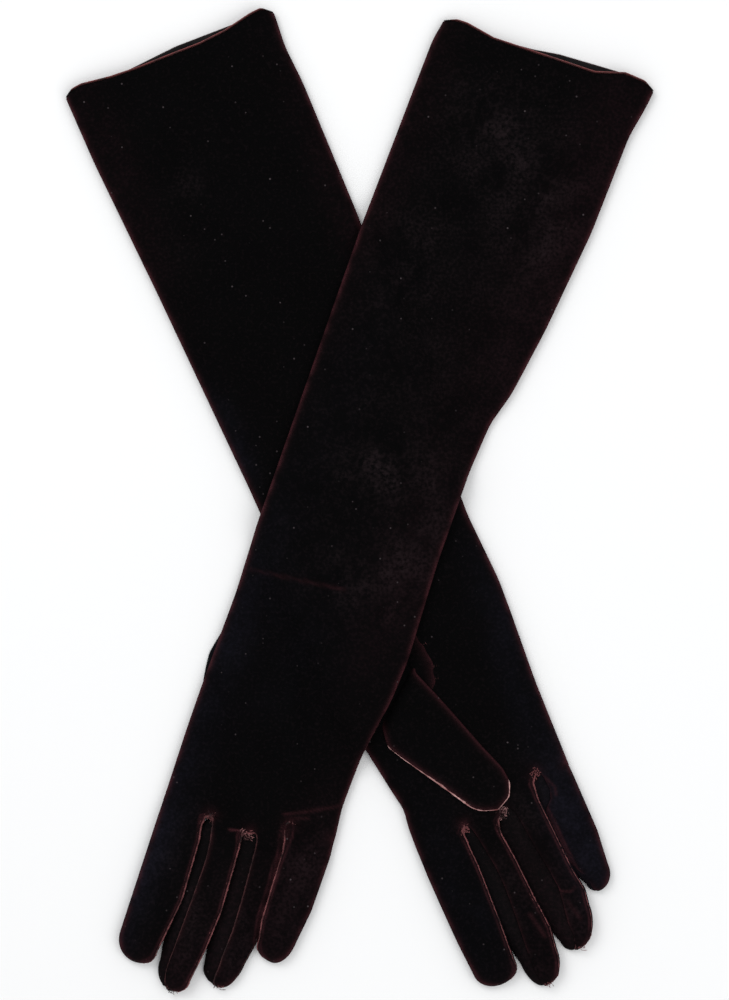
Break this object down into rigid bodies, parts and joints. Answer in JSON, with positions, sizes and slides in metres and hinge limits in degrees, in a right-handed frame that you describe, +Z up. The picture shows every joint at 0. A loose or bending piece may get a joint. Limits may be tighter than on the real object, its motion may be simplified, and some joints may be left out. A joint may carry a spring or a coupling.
{
  "type": "opera gloves",
  "caption": "Pair of long stretch-velvet opera gloves lying flat and crossed, with sewn fingers, folded thumbs, side seams and turned hems on wide sleeve mouths.",
  "frame": {"origin": "on the surface that the pair lies on, under the middle of the pair's outline", "axes": "+Z up from the surface, +Y from the fingertips towards the sleeve mouths, +X towards the side where the right hand's fingers lie"},
  "size_m": [0.3242, 0.546, 0.017],
  "materials": {
    "velvet": "stretch velvet pile, dark burgundy brown, almost black",
    "fourchette": "the same velvet, cut as narrow side strips",
    "hem": "matt knitted back of the velvet, reddish brown",
    "thread": "matt reddish-brown sewing thread and parted pile"
  },
  "bodies": {
    "right_glove": {"right_palm_panel": "velvet", "right_back_panel": "velvet", "right_index_middle_fourchette": "fourchette", "right_middle_ring_fourchette": "fourchette", "right_ring_little_fourchette": "fourchette", "right_hem": "hem", "right_hem_stitching": "thread", "right_index_side_seam": "thread", "right_little_side_seam": "thread", "right_fingertip_seams": "thread", "right_index_middle_seam": "thread", "right_middle_ring_seam": "thread", "right_ring_little_seam": "thread", "right_thumb_hole_seam": "thread", "right_thumb_root": "velvet"},
    "left_glove": {"left_palm_panel": "velvet", "left_back_panel": "velvet", "left_index_middle_fourchette": "fourchette", "left_middle_ring_fourchette": "fourchette", "left_ring_little_fourchette": "fourchette", "left_hem": "hem", "left_hem_stitching": "thread", "left_index_side_seam": "thread", "left_little_side_seam": "thread", "left_fingertip_seams": "thread", "left_index_middle_seam": "thread", "left_middle_ring_seam": "thread", "left_ring_little_seam": "thread", "left_thumb_hole_seam": "thread", "left_thumb_root": "velvet"},
    "right_thumb": {"right_thumb": "velvet", "right_thumb_seam": "thread"},
    "left_thumb": {"left_thumb": "velvet", "left_thumb_seam": "thread"}
  },
  "joints": [
    {"name": "left_glove_lift", "type": "slide", "parent": "right_glove", "child": "left_glove", "axis": [0, 0, 1], "range_m": [0, 0.15]},
    {"name": "right_thumb_fold", "type": "hinge", "parent": "right_glove", "child": "right_thumb", "pos_m": [0.02281, -0.11116, 0.0105], "axis": [-0.3995, -0.9167, 0], "range_deg": [0, 90]},
    {"name": "left_thumb_fold", "type": "hinge", "parent": "left_glove", "child": "left_thumb", "pos_m": [-0.05019, -0.10225, 0], "axis": [0.9189, 0.3945, 0], "range_deg": [0, 90]}
  ]
}
